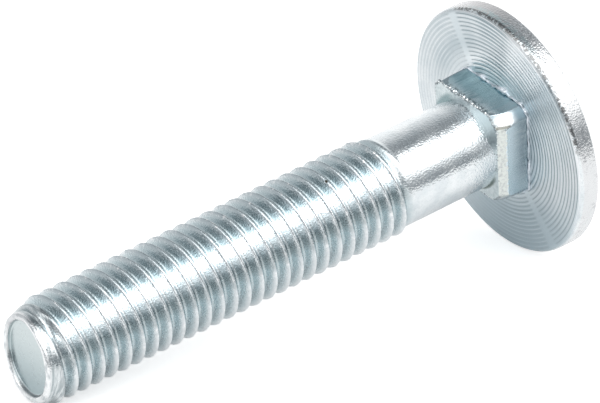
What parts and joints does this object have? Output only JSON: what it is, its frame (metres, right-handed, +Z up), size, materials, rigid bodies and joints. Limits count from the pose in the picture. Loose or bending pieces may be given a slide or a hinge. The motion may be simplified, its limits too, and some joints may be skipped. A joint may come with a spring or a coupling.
{
  "type": "carriage bolt",
  "caption": "Bolt with a round, low-domed head, a short square neck, a plain shank and a metric thread, lying as it comes to rest.",
  "frame": {"origin": "root of the square neck: the point where the thread's axis meets the flat underside of the head", "axes": "+Z up; the thread points along -X and 8.1 degrees down, as the bolt lies; the head's dome is at +X"},
  "size_m": [0.0597, 0.0249, 0.0248],
  "materials": {
    "zinc": "bright blue-white zinc plate over cold-forged steel"
  },
  "bodies": {
    "root": {"bolt": "zinc"}
  },
  "joints": []
}
